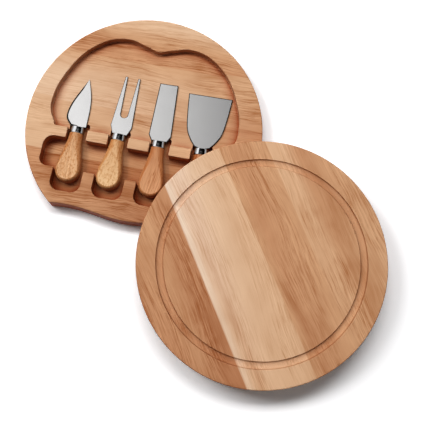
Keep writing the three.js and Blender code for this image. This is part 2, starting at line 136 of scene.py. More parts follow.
# Tools
BLADE_THICKNESS = 1.5 * MM
BLADE_EDGES = {"pointed_knife": 1.8 * MM, "fork": 0.55 * MM, "flat_knife": 0.9 * MM, "spatula": 0.9 * MM}
BLADE_EDGE_HEIGHT = 0.4 * MM
POINTED_RIGHT_BEVEL = 0.35
POINTED_TIP_REACH = 14 * MM
TANG_HALF_WIDTH = 3 * MM
TANG_LENGTH = 34 * MM
FERRULE_LENGTH = 7.5 * MM
FERRULE_WIDTH = 16 * MM
FERRULE_HEIGHT = 12.4 * MM
FERRULE_SQUARENESS = 2.3
FERRULE_WALL = 1 * MM
FERRULE_LIP = 0.35 * MM
FERRULE_TAPER = 1 * MM
HANDLE_LENGTH = 56 * MM
HANDLE_HALF_WIDTH = 13.5 * MM
HANDLE_THICKNESS = 13 * MM
HANDLE_SIDE_ROUND = 2.1 * MM
HANDLE_SIDE_HEIGHT = 5 * MM
HANDLE_NECK_ROUND = 7 * MM
HANDLE_NECK_HEIGHT = 6.2 * MM
NECK_OVERRUN = 14 * MM
NECK_ROUND_SHARE = 0.8
FACET_ANGLE = math.radians(62)
FACET_EDGE = 0.3 * MM
NECK_SHARE = 0.4
NECK_FALL = 1.3
BELLY_SHARE = 0.36
TOOL_TURNS = {"pointed_knife": 0, "fork": -1.1, "flat_knife": 1.5, "spatula": 1}

# Blades: half width and length, then the sides as shares of them or as places, from the ferrule to the tip
POINTED_KNIFE_SIZE = (15.7 * MM, 57.4 * MM)
POINTED_LEFT_SHARES = [(-0.56, 0.01), (-0.92, 0.13), (-1, 0.263), (-0.84, 0.474), (-0.45, 0.737), (0, 1)]
POINTED_RIGHT_SHARES = [(0, 1), (0.38, 0.7), (0.54, 0.42), (0.57, 0.01)]
SPATULA_SIZE = (24.7 * MM, 62.5 * MM)
SPATULA_SHARES = [(0.35, 0.03), (0.6, 0.16), (0.806, 0.336), (0.923, 0.64), (1, 1)]
FLAT_KNIFE_SIDE = [(8.6 * MM, SEAT_GAP), (12.5 * MM, 7 * MM), (10.3 * MM, 68 * MM)]
FORK_LENGTH = 68.5 * MM
FORK_SIDE = [(8.2 * MM, SEAT_GAP), (11.9 * MM, 9.5 * MM), (8.4 * MM, FORK_LENGTH), (6 * MM, FORK_LENGTH)]
FORK_SLOT_HALF_WIDTH = 4.05 * MM
FORK_SLOT_BOTTOM = 20.1 * MM

# Smoothness
FINE_STEP = 1.2 * MM
CORNER_STEPS = 12
ROUND_STEPS = 5
CURVE_STEPS = 14
BLADE_STEPS = 8
GROOVE_STEPS = 16
NECK_STEPS = 30
BUTT_STEPS = 40
FACET_STEPS = 12
OVAL_STEPS = 72
ROD_STEPS = 48
TURN_STEPS = 288
WAVE_STEPS = 90
HALVINGS = 60
SAME_PLACE = 1e-6
SHARPEST_MITRE = 0.45
SOFT_ANGLE = 32
BLADE_ANGLE = 20
FERRULE_ANGLE = 40
FLAT_NORMAL = 0.98

# Camera, fitted to both board rims in the photograph
CAMERA_PLACE = Vector((127.79, -259.50, 795.53)) * MM
CAMERA_TILT = math.radians(13.157)
CAMERA_ROLL = math.radians(10.6)
CAMERA_LENS = 62.66
CAMERA_REACH = 50
SENSOR_WIDTH = 36


# Outlines, as lists of flat points in metres, counterclockwise


def spaced(start, end, steps):
    """Values in even steps, both ends included."""
    return [start + (end - start) * step / steps for step in range(steps + 1)]


def arc(centre, radius, start, end, steps):
    """Points on an arc, both ends included."""
    return [centre + radius * Vector((math.cos(a), math.sin(a))) for a in spaced(start, end, steps)]


def spline(points, steps=CURVE_STEPS):
    """A Catmull-Rom curve through points, both ends included."""
    padded = [points[0], *points, points[-1]]
    made = [points[0]]
    for before, start, end, after in zip(padded, padded[1:], padded[2:], padded[3:]):
        leave, arrive = (end - before) / 2, (after - start) / 2
        for step in range(1, steps + 1):
            t = step / steps
            made.append(
                (2 * t**3 - 3 * t**2 + 1) * start
                + (t**3 - 2 * t**2 + t) * leave
                + (3 * t**2 - 2 * t**3) * end
                + (t**3 - t**2) * arrive
            )
    return made


def bezier(start, leave, arrive, end, steps=CURVE_STEPS):
    """A cubic curve, both ends included."""
    made = []
    for t in spaced(0, 1, steps):
        s = 1 - t
        made.append(s**3 * start + 3 * s * s * t * leave + 3 * s * t * t * arrive + t**3 * end)
    return made


def rounded(corners):
    """An outline through corners of x, y and radius, each rounded as far as its sides allow."""
    made = []
    for index, (x, y, radius) in enumerate(corners):
        corner = Vector((x, y))
        before = Vector(corners[index - 1][:2]) - corner
        after = Vector(corners[(index + 1) % len(corners)][:2]) - corner
        reach = min(radius, before.length / 2, after.length / 2)
        start = corner + before.normalized() * reach
        end = corner + after.normalized() * reach
        middle = start + end - corner
        first = math.atan2(start.y - middle.y, start.x - middle.x)
        turn = math.atan2(end.y - middle.y, end.x - middle.x) - first
        turn = (turn + math.pi) % (2 * math.pi) - math.pi
        made += arc(middle, reach, first, first + turn, CORNER_STEPS)
    return made


def evenly(points, step):
    """The closed outline with its long sides divided, so that every round on it has room."""
    made = []
    for start, end in zip(points, points[1:] + points[:1]):
        count = max(1, round((end - start).length / step))
        made += [start.lerp(end, index / count) for index in range(count)]
    return made


def drawn_in(points, amounts):
    """The outline moved inwards by one amount for each point. A negative amount moves it out."""
    made = []
    for index, point in enumerate(points):
        before = (point - points[index - 1]).normalized()
        after = (points[(index + 1) % len(points)] - point).normalized()
        along = (before + after).normalized()
        inward = Vector((-along.y, along.x))
        mitre = 1 / max(SHARPEST_MITRE, inward.dot(Vector((-before.y, before.x))))
        made.append(point + inward * amounts[index] * mitre)
    return made


def counterclockwise(points):
    """The outline turned counterclockwise, without points that lie on the one before them."""
    kept = []
    for point in points:
        if not kept or (point - kept[-1]).length > SAME_PLACE:
            kept.append(point)
    if (kept[0] - kept[-1]).length <= SAME_PLACE:
        kept.pop()
    area = sum(a.cross(b) for a, b in zip(kept, kept[1:] + kept[:1]))
    return kept if area > 0 else kept[::-1]


# Meshes


def added(name, data):
    made = bpy.data.objects.new(name, data)
    bpy.context.scene.collection.objects.link(made)
    return made


def piece(name, vertices, faces):
    mesh = bpy.data.meshes.new(name)
    mesh.from_pydata([tuple(v) for v in vertices], [], faces)
    mesh.validate()
    mesh.update()
    return added(name, mesh)


def skin(first, count, rings):
    """The faces between rings of count points each. The lowest ring starts at the vertex first."""
    faces = []
    for low in range(first, first + (rings - 1) * count, count):
        high = low + count
        for index in range(count):
            after = (index + 1) % count
            faces.append([low + index, low + after, high + after, high + index])
    return faces


def lofted(name, rings):
    """A closed body through rings of as many points each, lowest first."""
    count = len(rings[0])
    bottom = list(range(count))[::-1]
    top = [(len(rings) - 1) * count + index for index in range(count)]
    vertices = [point for ring in rings for point in ring]
    return piece(name, vertices, [bottom, *skin(0, count, len(rings)), top])


def stacked(name, outline, levels, shares=None):
    """A closed body from one outline at several levels of height and inset, lowest first.

    Shares of the inset, one for each point, let a sharp tip keep its place.
    """
    shares = shares or [1] * len(outline)
    rings = []
    for height, inset in levels:
        insets = [inset * share for share in shares]
        rings.append([(p.x, p.y, height) for p in drawn_in(outline, insets)])
    return lofted(name, rings)


def quarter():
    """Shares of a quarter round: out along its start, then up to its end."""
    return [(math.sin(a), 1 - math.cos(a)) for a in spaced(0, QUARTER, ROUND_STEPS)]


def slab_levels(low, high, edge):
    """Heights and insets of a slab with rounded lower and upper edges."""
    under = [(low + edge * up, edge * (1 - out)) for out, up in quarter()]
    over = [(high - edge * up, edge * (1 - out)) for out, up in reversed(quarter())]
    return under + over


def cutter_levels(floor, face):
    """Heights and insets of a cutter with a rounded floor and a rim that flares out at the face."""
    bottom = [(floor + FLOOR_ROUND * up, FLOOR_ROUND * (1 - out)) for out, up in quarter()]
    flare = [(face - RIM_ROUND * (1 - out), -RIM_ROUND * up) for out, up in quarter()]
    return bottom + flare + [(face + OVERRUN, -RIM_ROUND)]


def turned(name, profile, centre=Vector((0, 0)), steps=TURN_STEPS):
    """A body turned about a standing axis from points of radius and height, which start and end on it."""
    vertices = [(centre.x, centre.y, profile[0][1])]
    rings = profile[1:-1]
    for radius, height in rings:
        for angle in spaced(0, 2 * math.pi, steps)[:-1]:
            x = centre.x + radius * math.cos(angle)
            y = centre.y + radius * math.sin(angle)
            vertices.append((x, y, height))
    vertices.append((centre.x, centre.y, profile[-1][1]))
    last = len(vertices) - 1
    top = last - steps
    faces = [[0, 1 + (step + 1) % steps, 1 + step] for step in range(steps)]
    faces += skin(1, steps, len(rings))
    faces += [[last, top + step, top + (step + 1) % steps] for step in range(steps)]
    return piece(name, vertices, faces)


def rod(centre, radius, low, high):
    """A round cutter, standing."""
    return turned("cut", [(0, low), (radius, low), (radius, high), (0, high)], centre, ROD_STEPS)


def cut_away(body, cutter):
    """Cuts another closed body, which is used up, out of the body."""
    modifier = body.modifiers.new("work", "BOOLEAN")
    modifier.operation = "DIFFERENCE"
    modifier.solver = "EXACT"
    modifier.object = cutter
    bpy.context.view_layer.update()
    graph = bpy.context.evaluated_depsgraph_get()
    mesh = bpy.data.meshes.new_from_object(body.evaluated_get(graph))
    body.modifiers.clear()
    body.data = mesh
    bpy.data.objects.remove(cutter)


def smoothed(body, angle=SOFT_ANGLE):
    """Shades the body smooth across its rounds, and keeps its flat faces flat and its edges crisp."""
    work = bmesh.new()
    work.from_mesh(body.data)
    bmesh.ops.remove_doubles(work, verts=work.verts, dist=SAME_PLACE)
    bmesh.ops.dissolve_degenerate(work, edges=work.edges, dist=SAME_PLACE)
    limit = math.radians(angle)
    for edge in work.edges:
        edge.smooth = len(edge.link_faces) == 2 and edge.calc_face_angle(0) < limit
    for face in work.faces:
        face.smooth = True
    work.to_mesh(body.data)
    work.free()
    weighted = body.modifiers.new("weighted", "WEIGHTED_NORMAL")
    weighted.mode = "FACE_AREA"
    weighted.keep_sharp = True
    return body


# Colours and node trees

WHITE = (1, 1, 1, 1)
BLACK = (0, 0, 0, 1)


def srgb(red, green, blue):
    """A colour written as it shows on screen, 0 to 255, in the renderer's own linear values."""
    shares = [value / 255 for value in (red, green, blue)]
    linear = [s / 12.92 if s <= 0.04045 else ((s + 0.055) / 1.055) ** 2.4 for s in shares]
    return (*linear, 1)


class Graph:
    """A material's or the world's node tree, with short calls that add a node and feed its sockets."""

    def __init__(self, name, library=bpy.data.materials):
        self.owner = library.new(name)
        self.owner.use_nodes = True
        self.tree = self.owner.node_tree
        self.tree.nodes.clear()

    def feed(self, socket, value):
        if isinstance(value, bpy.types.NodeSocket):
            self.tree.links.new(value, socket)
        else:
            socket.default_value = value

    def add(self, kind, inputs=None, **settings):
        node = self.tree.nodes.new("ShaderNode" + kind)
        for key, value in settings.items():
            setattr(node, key, value)
        for key, value in (inputs or {}).items():
            self.feed(node.inputs[key], value)
        return node

    def finish(self, shader, output="OutputMaterial"):
        self.add(output, {"Surface": shader.outputs[0]})
        return self.owner

    def surface(self, **inputs):
        named = {key.replace("_", " "): value for key, value in inputs.items()}
        return self.finish(self.add("BsdfPrincipled", named))

    def math(self, operation, a, b=0.0, clamp=False):
        return self.add("Math", {0: a, 1: b}, operation=operation, use_clamp=clamp).outputs[0]

    def plus(self, a, b, clamp=False):
        return self.math("ADD", a, b, clamp)

    def minus(self, a, b):
        return self.math("SUBTRACT", a, b)

    def times(self, a, b):
        return self.math("MULTIPLY", a, b)

    def place(self):
        return self.add("TexCoord").outputs["Object"]

    def parts(self, vector):
        return self.add("SeparateXYZ", {0: vector}).outputs[:]

    def joined(self, x, y, z):
        return self.add("CombineXYZ", {0: x, 1: y, 2: z}).outputs[0]

    def flatness(self):
        """One where the surface lies flat, zero where it stands upright."""
        return self.math("ABSOLUTE", self.parts(self.add("NewGeometry").outputs["Normal"])[2])

    def noise(self, place, fineness, detail, roughness, distortion=0.0):
        """Noise from 0 to 1. Its fineness is given for x, y and z."""
        stretched = self.add("VectorMath", {0: place, 1: fineness}, operation="MULTIPLY").outputs[0]
        inputs = {"Vector": stretched, "Scale": 1.0, "Detail": detail, "Roughness": roughness}
        return self.add("TexNoise", {**inputs, "Distortion": distortion}).outputs["Fac"]

    def between(self, value, low, high, out_low=0.0, out_high=1.0, smooth=True):
        """Runs from out_low to out_high while the value goes from low to high."""
        inputs = {"Value": value, "From Min": low, "From Max": high, "To Min": out_low, "To Max": out_high}
        kind = "SMOOTHSTEP" if smooth else "LINEAR"
        return self.add("MapRange", inputs, interpolation_type=kind).outputs[0]

    def ramp(self, value, stops):
        """Colours at places from 0 to 1. Places come first, because moving a stop can change the order."""
        node = self.add("ValToRGB", {0: value})
        elements = node.color_ramp.elements
        while len(elements) < len(stops):
            elements.new(1.0)
        for element, stop in zip(elements, stops):
            element.position = stop[0]
        for element, stop in zip(elements, stops):
            element.color = stop[1]
        return node.outputs[0]

    def blend(self, factor, a, b, kind="MIX"):
        node = self.add("Mix", data_type="RGBA", blend_type=kind)
        sockets = {s.identifier: s for s in node.inputs}
        self.feed(sockets["Factor_Float"], factor)
        self.feed(sockets["A_Color"], a)
        self.feed(sockets["B_Color"], b)
        return next(s for s in node.outputs if s.identifier == "Result_Color")

    def tinted(self, colour, tint, factor=1.0):
        return self.blend(factor, colour, tint, "MULTIPLY")

    def bump(self, height, strength, distance):
        return self.add("Bump", {"Strength": strength, "Distance": distance, "Height": height}).outputs[0]

    def seen_directly(self):
        """One for what the camera, a reflection or a clear material sees, zero for light on things."""
        rays = self.add("LightPath").outputs
        seen = self.math("MAXIMUM", rays["Is Camera Ray"], rays["Is Glossy Ray"])
        return self.math("MAXIMUM", seen, rays["Is Transmission Ray"])


# Wood. Each layer of its grain: fineness along, across and through it, then the noise's detail and roughness

SLOW_SWAY = ((6, 9, 9), 1.0, 0.5)
SMALL_WAVES = ((27, 40, 40), 2.0, 0.5)
RINGS = ((260, 1, 1), 3.0, 0.65)
BANDS = ((4, 50, 50), 2.0, 0.5)
CLOUDS = ((26, 48, 48), 2.0, 0.5)
STREAKS = ((20, 620, 620), 3.0, 0.65)
FIBRES = ((70, 1500, 1500), 3.0, 0.65)
PORES = ((120, 1300, 1300), 1.0, 0.4)
PATCHES = ((11, 34, 34), 2.0, 0.5)
VEINS = ((8, 230, 230), 2.0, 0.5)
FLECKS = ((330, 620, 620), 2.0, 0.6)

# From where to where a layer's noise shows, and how much of the figure the patches leave
PORES_SHOWN = (0.64, 0.78)
VEINS_SHOWN = (0.6, 0.74)
FLECKS_SHOWN = (0.46, 0.66)
PATCHES_SHOWN = (0.38, 0.62, 0.2, 1.25)
STREAK_WEIGHT = 1.5
FIBRE_WEIGHT = 1.1
BAND_WEIGHT = 0.65
RING_WEIGHT = 0.3
CLOUD_WEIGHT = 0.7

# Each stave's number, and how far along, across and up the log it shifts the stave
STAVE_STEP = 1.37
STAVE_STEP_GROWTH = 0.61
STAVE_SHIFT = (0.731, 0.417, 0.293)
SWAY_REACH = 30 * MM
HEART_DEPTH = 55 * MM
HEART_SWING = 50 * MM
HEART_TURN = 2.3

# How lively dark and pale tones are, what deepens the wood, and the painted shade for inner corners
DARK_TONE = 0.22
PALE_TONE = 0.6
DARK_LIVELINESS = 1.35
PALE_LIVELINESS = 0.45
VEIN_STRENGTH = 0.22
OILED_ROUGHNESS = 0.4
GRAIN_HEIGHT = 0.3 * MM
GRAIN_SHADES = [(0.0, (0.66, 0.47, 0.31, 1)), (0.5, WHITE), (1.0, (1.2, 1.28, 1.34, 1))]
VEIN_TINT = (0.74, 0.52, 0.34, 1)
PORE_TINT = (0.62, 0.4, 0.22, 1)
FLECK_TINT = (0.78, 0.6, 0.42, 1)
# Painted shade in inner corners
CORNER_SHADE_TINT = (0.5, 0.13, 0.01, 1)


def stave_number(g, width, glue_lines, seed):
    """A number of its own for each stave, which is cut from another place in the log."""
    stave = seed
    for index, line in enumerate(sorted(glue_lines)):
        step = g.math("GREATER_THAN", width, line)
        stave = g.plus(g.times(step, STAVE_STEP + STAVE_STEP_GROWTH * index), stave)
    return stave


def growth_rings(g, width, height, stave, sway):
    """Cylinders about a heart that lies under the board."""
    heart_side = g.times(g.math("SINE", g.times(stave, HEART_TURN)), HEART_SWING)
    across = g.plus(g.plus(width, heart_side), sway)
    up = g.plus(g.plus(height, HEART_DEPTH), sway)
    radius = g.math("SQRT", g.plus(g.math("POWER", across, 2), g.math("POWER", up, 2)))
    return g.noise(g.joined(radius, stave, 0.0), *RINGS)


def wood(
    name, tones, far_tones, glue_lines=(), half_width=BOARD_RADIUS, along="X", seed=0.0, figure=1.0,
    painted_side_shade=0.5, flat_from=0.85, steep_from=0.25, side_shade_tint=(0.6, 0.4, 0.25, 1), side_shade_fades=(),
    corner_shade_reach=0.0, open_from=0.97, depth_shade_tint=None, waviness=0.003, pore_dark=0.25, flecks=0.0, shine=0.13,
    opened=False,
):
    """Oiled wood with a solid pattern, which runs on from the face into the cuts and over the rim.

    Tones and far_tones are stops across the grain at its near and far end, and glue lines part the staves.
    The side shade is painted shade on what isn't flat, less so past each of its fades across the grain. The
    corner shade's reach is how far painted shade spreads out of inner corners, and the depth shade tint is
    painted shade over the low cuts. An opened piece has its grain turned open with it.
    """
    g = Graph(name)
    place = g.place()
    if opened:
        turn = {"Vector": place, "Center": PIVOT, "Angle": -OPEN_ANGLE}
        place = g.add("VectorRotate", turn, rotation_type="Z_AXIS").outputs[0]
    x, y, height = g.parts(place)
    length, width = (x, y) if along == "X" else (y, x)

    stave = stave_number(g, width, glue_lines, seed)
    shifted = [g.plus(part, g.times(stave, by)) for part, by in zip((length, width, height), STAVE_SHIFT)]
    straight = g.joined(*shifted)

    # The grain wanders: slowly along the whole stave, and in small waves.
    slow = g.minus(g.noise(straight, *SLOW_SWAY), 0.5)
    waves = g.minus(g.noise(straight, *SMALL_WAVES), 0.5)
    sway = g.plus(g.times(slow, SWAY_REACH), g.times(waves, waviness))
    log = g.joined(shifted[0], g.plus(shifted[1], sway), shifted[2])
    rings = growth_rings(g, width, height, stave, sway)

    # Broad bands, clouds, streaks, fibres and pores, drawn out along the grain.
    bands, clouds = g.noise(log, *BANDS), g.noise(log, *CLOUDS)
    streaks, fibres = g.noise(log, *STREAKS), g.noise(log, *FIBRES)
    pores = g.between(g.noise(log, *PORES), *PORES_SHOWN)
    patches = g.between(g.noise(log, *PATCHES), *PATCHES_SHOWN)
    veins = g.between(g.noise(log, *VEINS), *VEINS_SHOWN)

    # Pale staves are quiet, and dark ones show more figure.
    share = g.between(width, -half_width, half_width, smooth=False)
    reach = g.between(length, -half_width, half_width, smooth=False)
    tone = g.blend(reach, g.ramp(share, tones), g.ramp(share, far_tones))
    lightness = g.add("RGBToBW", {0: tone}).outputs[0]
    lively = g.between(lightness, DARK_TONE, PALE_TONE, DARK_LIVELINESS * figure, PALE_LIVELINESS * figure)
    fine = g.plus(g.times(streaks, STREAK_WEIGHT), g.times(fibres, FIBRE_WEIGHT))
    mix = g.times(g.minus(fine, (STREAK_WEIGHT + FIBRE_WEIGHT) / 2), patches)
    for layer, weight in ((bands, BAND_WEIGHT), (rings, RING_WEIGHT), (clouds, CLOUD_WEIGHT)):
        mix = g.plus(g.times(g.minus(layer, 0.5), weight), mix)
    mix = g.plus(g.times(mix, lively), 0.5, clamp=True)
    colour = g.tinted(tone, g.ramp(mix, GRAIN_SHADES))
    colour = g.tinted(colour, VEIN_TINT, g.times(veins, g.times(lively, VEIN_STRENGTH)))
    colour = g.tinted(colour, PORE_TINT, g.times(g.times(pores, patches), g.times(lively, pore_dark)))
    if flecks:
        spots = g.between(g.noise(log, *FLECKS), *FLECKS_SHOWN)
        colour = g.tinted(colour, FLECK_TINT, g.times(spots, flecks))

    # Painted shade: upright faces are tinted darker, less so past the fades across the grain.
    flatness = g.flatness()
    upright = g.between(flatness, steep_from, flat_from, painted_side_shade, 0.0)
    for start, end, left in side_shade_fades:
        upright = g.times(upright, g.between(width, start, end, 1.0, left))
    colour = g.tinted(colour, side_shade_tint, upright)
    # Painted shade in inner corners: darker where the piece's own ambient occlusion finds it enclosed, on
    # floors more than on walls.
    if corner_shade_reach:
        openness = g.add("AmbientOcclusion", {"Distance": corner_shade_reach}, samples=8, only_local=True)
        corner_shade_amount = g.between(openness.outputs["AO"], open_from - 0.5, open_from, 1.0, 0.0, smooth=False)
        corner_shade_amount = g.times(corner_shade_amount, g.between(flatness, 0.2, 0.9, 0.15, 1.0))
        colour = g.tinted(colour, CORNER_SHADE_TINT, corner_shade_amount)
    # Painted shade over the deep cuts: darker the lower the surface lies, from the recess floor down to the
    # trough floor.
    if depth_shade_tint:
        colour = g.tinted(colour, depth_shade_tint, g.between(height, TROUGH_FLOOR, RECESS_FLOOR, 1.0, 0.0))

    relief = g.minus(g.times(fibres, 0.6), g.times(pores, 0.8))
    relief = g.plus(relief, g.times(streaks, 0.5))
    rough = g.plus(g.times(fibres, 0.22), g.times(pores, 0.15))
    rough = g.plus(rough, OILED_ROUGHNESS)
    bump = g.bump(relief, 0.3, GRAIN_HEIGHT)
    return g.surface(Base_Color=colour, Roughness=rough, Normal=bump, Specular_IOR_Level=shine)


# Metals and plastic. Each layer: its fineness, detail, roughness and, for some, distortion

BRUSHING = ((40, 2400, 2400), 3.0, 0.6)
WEAR = ((45, 45, 45), 3.0, 0.5)
SCRATCHES = ((340, 2600, 900), 2.0, 0.5, 1.5)
SMEARS = ((260, 420, 260), 4.0, 0.6, 0.6)
SPECKS = ((1900, 1900, 1900), 1.0, 0.5)
MOTTLE = ((500, 500, 500), 3.0, 0.5)
PAPER = ((900, 900, 900), 2.0, 0.5)


def scaled(tone, share):
    return (*[value * share for value in tone[:3]], 1)


def brushed_steel(name, tone, roughness):
    """Satin steel with fine lines drawn one way, soft cloudy wear and a few hair scratches."""
    g = Graph(name)
    place = g.place()
    lines, clouds = g.noise(place, *BRUSHING), g.noise(place, *WEAR)
    scratches = g.between(g.noise(place, *SCRATCHES), 0.69, 0.76)
    dark, light = scaled(tone, 0.985), scaled(tone, 1.01)
    colour = g.blend(g.between(lines, 0.3, 0.7), dark, light)
    colour = g.blend(g.times(g.between(clouds, 0.35, 0.75), 0.25), colour, dark)
    rough = g.plus(g.between(lines, 0.3, 0.7, -0.012, 0.012), g.between(clouds, 0.3, 0.7, -0.02, 0.03))
    rough = g.plus(g.plus(rough, g.times(scratches, 0.1)), roughness)
    bump = g.bump(g.minus(lines, g.times(scratches, 0.8)), 0.0015, 0.01 * MM)
    return g.surface(Base_Color=colour, Roughness=rough, Normal=bump, Metallic=1.0)


def polished(name, tone, roughness, flank_reflection=0.0):
    """Plated metal, nearly a mirror, with faint smears and specks. The flank reflection is a painted dark
    reflection on what stands steep.
    """
    g = Graph(name)
    place = g.place()
    smears = g.noise(place, *SMEARS)
    specks = g.between(g.noise(place, *SPECKS), 0.68, 0.76)
    colour = g.blend(g.between(smears, 0.4, 0.8, 0.0, 0.5), tone, scaled(tone, 0.8))
    # Painted dark reflection: the steeper the face, the more its tone goes to a dark brown.
    if flank_reflection:
        colour = g.blend(g.between(g.flatness(), 0.6, 0.97, flank_reflection, 0.0), colour, PAINTED_FLANK_TONE)
    rough = g.plus(g.between(smears, 0.35, 0.75, 0.0, 0.08), g.times(specks, 0.1))
    rough = g.plus(rough, roughness)
    bump = g.bump(smears, 0.06, 0.08 * MM)
    return g.surface(Base_Color=colour, Roughness=rough, Normal=bump, Metallic=1.0)


def moulded(name, tone):
    """Natural nylon: milky, faintly mottled, satin."""
    g = Graph(name)
    mottle = g.noise(g.place(), *MOTTLE)
    colour = g.blend(g.between(mottle, 0.3, 0.7), scaled(tone, 0.88), tone)
    rough = g.between(mottle, 0.3, 0.7, 0.45, 0.6)
    bump = g.bump(mottle, 0.1, 0.1 * MM)
    return g.surface(Base_Color=colour, Roughness=rough, Normal=bump, Subsurface_Weight=0.1)


# The pieces' tones


def across_board(*places):
    """A ramp's stops from tones at places across a board, in millimetres from its middle."""
    return [(0.5 + y * MM / (2 * BOARD_RADIUS), tone) for y, tone in places]


def plain(colour):
    """One tone from side to side."""
    return [(0.0, colour), (1.0, colour)]


IVORY = srgb(244, 218, 194)
CREAM = srgb(236, 202, 174)
PEACH = srgb(228, 190, 156)
STRAW = srgb(221, 178, 140)
HONEY = srgb(222, 177, 138)
TAN = srgb(212, 164, 124)
AMBER = srgb(205, 153, 112)
RUSSET = srgb(196, 140, 100)
COCOA = srgb(182, 121, 82)
WALNUT = srgb(150, 84, 48)
PALE_HANDLE = srgb(228, 180, 134)
PALE_NECK = srgb(162, 94, 44)
YELLOW_HANDLE = srgb(234, 192, 144)
YELLOW_NECK = srgb(188, 120, 62)
RED_HANDLE = srgb(210, 152, 108)
RED_NECK = srgb(164, 96, 54)
BLADE_TONE = (0.8, 0.79, 0.785, 1)
# Painted dark reflection: nearly black steel for the blades' ground bevels
PAINTED_DARK_BEVEL_TONE = (0.03, 0.027, 0.025, 1)
CHROME_TONE = (0.78, 0.78, 0.79, 1)
# Painted dark reflection for the ferrules' steep flanks
PAINTED_FLANK_TONE = (0.16, 0.13, 0.11, 1)
ZINC_TONE = (0.55, 0.56, 0.58, 1)
BRASS_TONE = (0.72, 0.52, 0.22, 1)
NYLON_TONE = (0.84, 0.82, 0.76, 1)

BASE_GLUE_LINES = [-42 * MM, -24 * MM, 19 * MM, 79 * MM]
# Stave tones across the base; the darker band from 79 to 97 mm is also painted shade below the recess's upper
# wall
BASE_TONES_AND_SHADE = across_board(
    (-105, AMBER), (-60, RUSSET), (-42.1, RUSSET), (-41.9, STRAW), (18.9, STRAW), (19.1, PEACH), (50, PEACH),
    (78.9, AMBER), (79.1, RUSSET), (97, RUSSET), (104, AMBER), (122, STRAW),
)
BASE_FAR_TONES_AND_SHADE = across_board(
    (-105, WALNUT), (-60, COCOA), (-42.1, COCOA), (-41.9, RUSSET), (-24.1, RUSSET), (-23.9, AMBER),
    (-4, AMBER), (18.9, COCOA), (19.1, RUSSET), (50, AMBER), (78.9, TAN), (79.1, RUSSET), (97, AMBER),
    (104, TAN), (122, PEACH),
)
TOP_GLUE_LINES = [-53 * MM, -5 * MM, 63 * MM]
TOP_TONES = across_board(
    (-120, TAN), (-75, AMBER), (-52.9, AMBER), (-16, RUSSET), (-5.1, AMBER), (-4.9, HONEY), (44, HONEY),
    (49, AMBER), (52, TAN), (55, HONEY), (60, PEACH), (62.9, PEACH), (63.1, COCOA), (78, COCOA), (95, RUSSET),
    (115, COCOA),
)
TOP_FAR_TONES = across_board(
    (-120, AMBER), (-80, RUSSET), (-68, HONEY), (-53.1, HONEY), (-52.9, AMBER), (-16, RUSSET), (-5.1, AMBER),
    (-4.9, HONEY), (30, PEACH), (44, CREAM), (55, CREAM), (60, IVORY), (62.9, IVORY), (63.1, RUSSET),
    (78, RUSSET), (95, AMBER),
)

# The base's grain figure, with painted shade on its upright faces, in its inner corners and over its deep
# cuts
BASE_GRAIN_AND_SHADE = {
    "seed": 0.3,
    "figure": 1.25,
    "painted_side_shade": 1.0,
    "side_shade_tint": (0.54, 0.19, 0.035, 1),
    "side_shade_fades": ((-92 * MM, -88 * MM, 0.82), (-28 * MM, -4 * MM, 0.52)),
    "corner_shade_reach": 12 * MM,
    "open_from": 0.96,
    "depth_shade_tint": (0.79, 0.68, 0.58, 1),
    "waviness": 0.006,
}
# The foot takes the base's figure and painted shade, with lighter painted shade on its upright faces
FOOT_GRAIN_AND_SHADE = {**BASE_GRAIN_AND_SHADE, "painted_side_shade": 0.5, "opened": True}
base_wood = wood("base_wood", BASE_TONES_AND_SHADE, BASE_FAR_TONES_AND_SHADE, BASE_GLUE_LINES, **BASE_GRAIN_AND_SHADE)
foot_wood = wood("foot_wood", BASE_TONES_AND_SHADE, BASE_FAR_TONES_AND_SHADE, BASE_GLUE_LINES, **FOOT_GRAIN_AND_SHADE)
# Painted shade on the top board's upright faces, rim and groove, and in the groove's corners
top_wood = wood(
    "top_wood", TOP_TONES, TOP_FAR_TONES, TOP_GLUE_LINES, seed=2.1, figure=1.05, painted_side_shade=0.9,
    flat_from=0.94, steep_from=0.3, side_shade_tint=(0.5, 0.26, 0.1, 1), corner_shade_reach=5 * MM, open_from=0.9,
    opened=True,
)
dowel_wood = wood("dowel_wood", plain(HONEY), plain(PEACH), seed=5.2)


def handle_wood(name, tone, neck_tone, seed, figure, flecks=0.0):
    """A tool handle's wood: its sides and rounds get painted shade, and its tone runs darker towards the
    neck.
    """
    return wood(
        name, plain(tone), plain(neck_tone), half_width=HANDLE_LENGTH + FERRULE_LENGTH, along="Y", seed=seed,
        figure=figure, painted_side_shade=0.75, flat_from=0.985, steep_from=0.86, side_shade_tint=(0.76, 0.5, 0.26, 1),
        shine=0.3, pore_dark=0.9, flecks=flecks,
    )


handle_woods = {
    "pointed_knife": handle_wood("handle_wood_1", PALE_HANDLE, PALE_NECK, seed=3.7, figure=1.6, flecks=1.0),
    "fork": handle_wood("handle_wood_2", YELLOW_HANDLE, YELLOW_NECK, seed=8.1, figure=1.6, flecks=0.9),
    "flat_knife": handle_wood("handle_wood_3", RED_HANDLE, RED_NECK, seed=4.4, figure=1.3),
    "spatula": handle_wood("handle_wood_4", RED_HANDLE, RED_NECK, seed=6.9, figure=1.3),
}
blade_steel = brushed_steel("blade_steel", BLADE_TONE, roughness=0.24)
# The ground bevels get nearly black steel, a painted dark reflection
bevel_steel_painted_dark = brushed_steel("bevel_steel_painted_dark", PAINTED_DARK_BEVEL_TONE, roughness=0.16)
# Chrome with a painted dark reflection on its steep flanks
ferrule_chrome = polished("ferrule_chrome", CHROME_TONE, roughness=0.05, flank_reflection=0.9)
zinc_steel = brushed_steel("zinc_steel", ZINC_TONE, roughness=0.4)
insert_brass = polished("insert_brass", BRASS_TONE, roughness=0.25)
washer_nylon = moulded("washer_nylon", NYLON_TONE)


